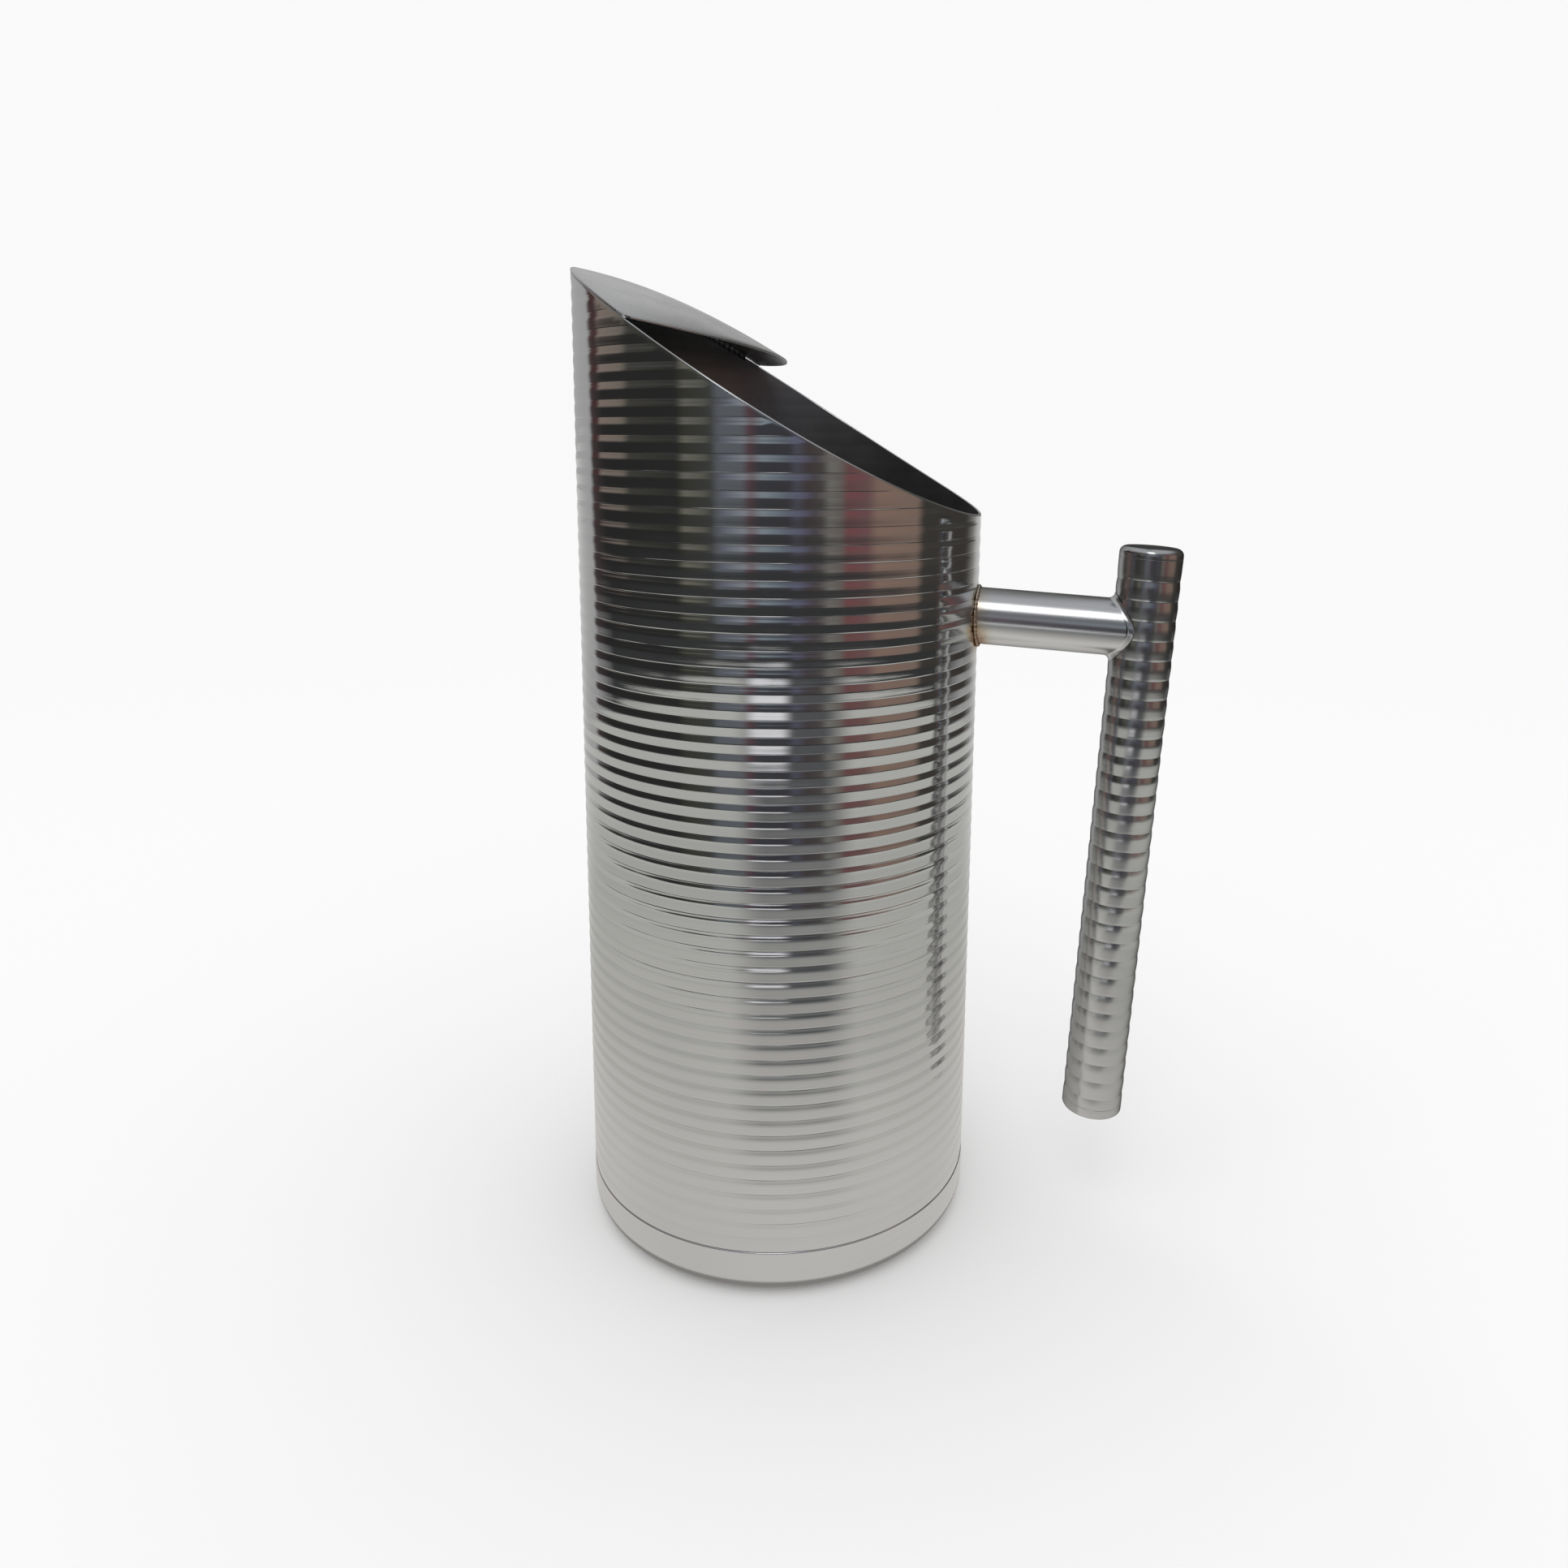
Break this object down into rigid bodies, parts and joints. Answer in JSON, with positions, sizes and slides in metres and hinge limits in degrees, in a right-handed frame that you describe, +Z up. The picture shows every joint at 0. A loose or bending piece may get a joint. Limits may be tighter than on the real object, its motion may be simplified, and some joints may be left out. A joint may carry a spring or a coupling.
{
  "type": "water pitcher",
  "caption": "Tall slant-topped water pitcher of ribbed polished stainless steel, with an arched ice guard over its spout and an upright tube grip on a single arm.",
  "frame": {"origin": "centre of the flat base, on the surface that the pitcher stands on", "axes": "+Z up along the body, +X from the body towards the handle, so the spout points to -X"},
  "size_m": [0.1603, 0.108, 0.2609],
  "materials": {
    "ribbed_steel": "mirror polished over rolled ribs",
    "base_steel": "polished, finely spun",
    "guard_steel": "satin brushed",
    "arm_steel": "mirror polished",
    "grip_steel": "polished over rolled grooves",
    "weld_metal": "ground weld",
    "tinted_weld": "weld bead with straw and brown heat tint"
  },
  "bodies": {
    "root": {"body_shell": "ribbed_steel", "base_cup": "base_steel", "base_seam_weld": "weld_metal", "ice_guard": "guard_steel", "guard_weld": "weld_metal", "handle_arm": "arm_steel", "arm_body_weld": "tinted_weld", "arm_grip_weld": "weld_metal", "handle_grip": "grip_steel", "grip_top_cap": "grip_steel", "grip_bottom_cap": "grip_steel"}
  },
  "joints": []
}
